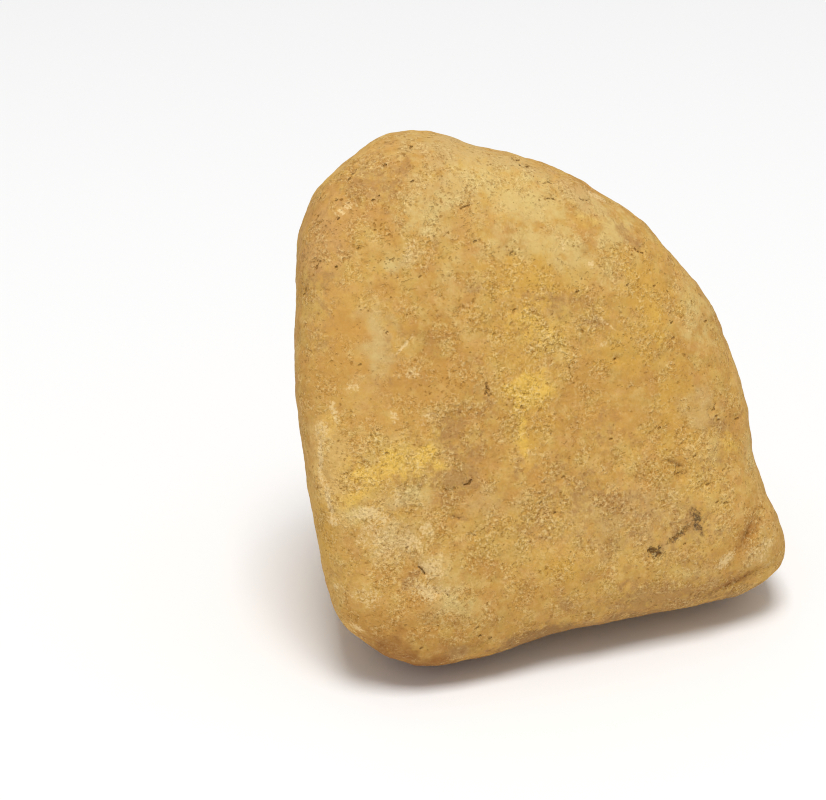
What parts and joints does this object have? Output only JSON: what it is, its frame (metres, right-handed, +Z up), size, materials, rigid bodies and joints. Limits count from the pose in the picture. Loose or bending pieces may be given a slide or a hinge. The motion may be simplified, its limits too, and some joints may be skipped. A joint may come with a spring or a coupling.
{
  "type": "aquascaping rock",
  "caption": "Water-worn block of ochre sandstone with a broad pitted face, a rounded crown and a low toe, resting on a small flat spot, for planting tanks.",
  "frame": {"origin": "on the flat spot that the stone rests on, straight below its core point", "axes": "+Z up, +X to the right along the broad face, and the broad face looks towards -Y"},
  "size_m": [0.195, 0.1656, 0.199],
  "materials": {
    "sandstone": "matt, weathered, with iron and manganese stains"
  },
  "bodies": {
    "root": {"rock": "sandstone"}
  },
  "joints": []
}
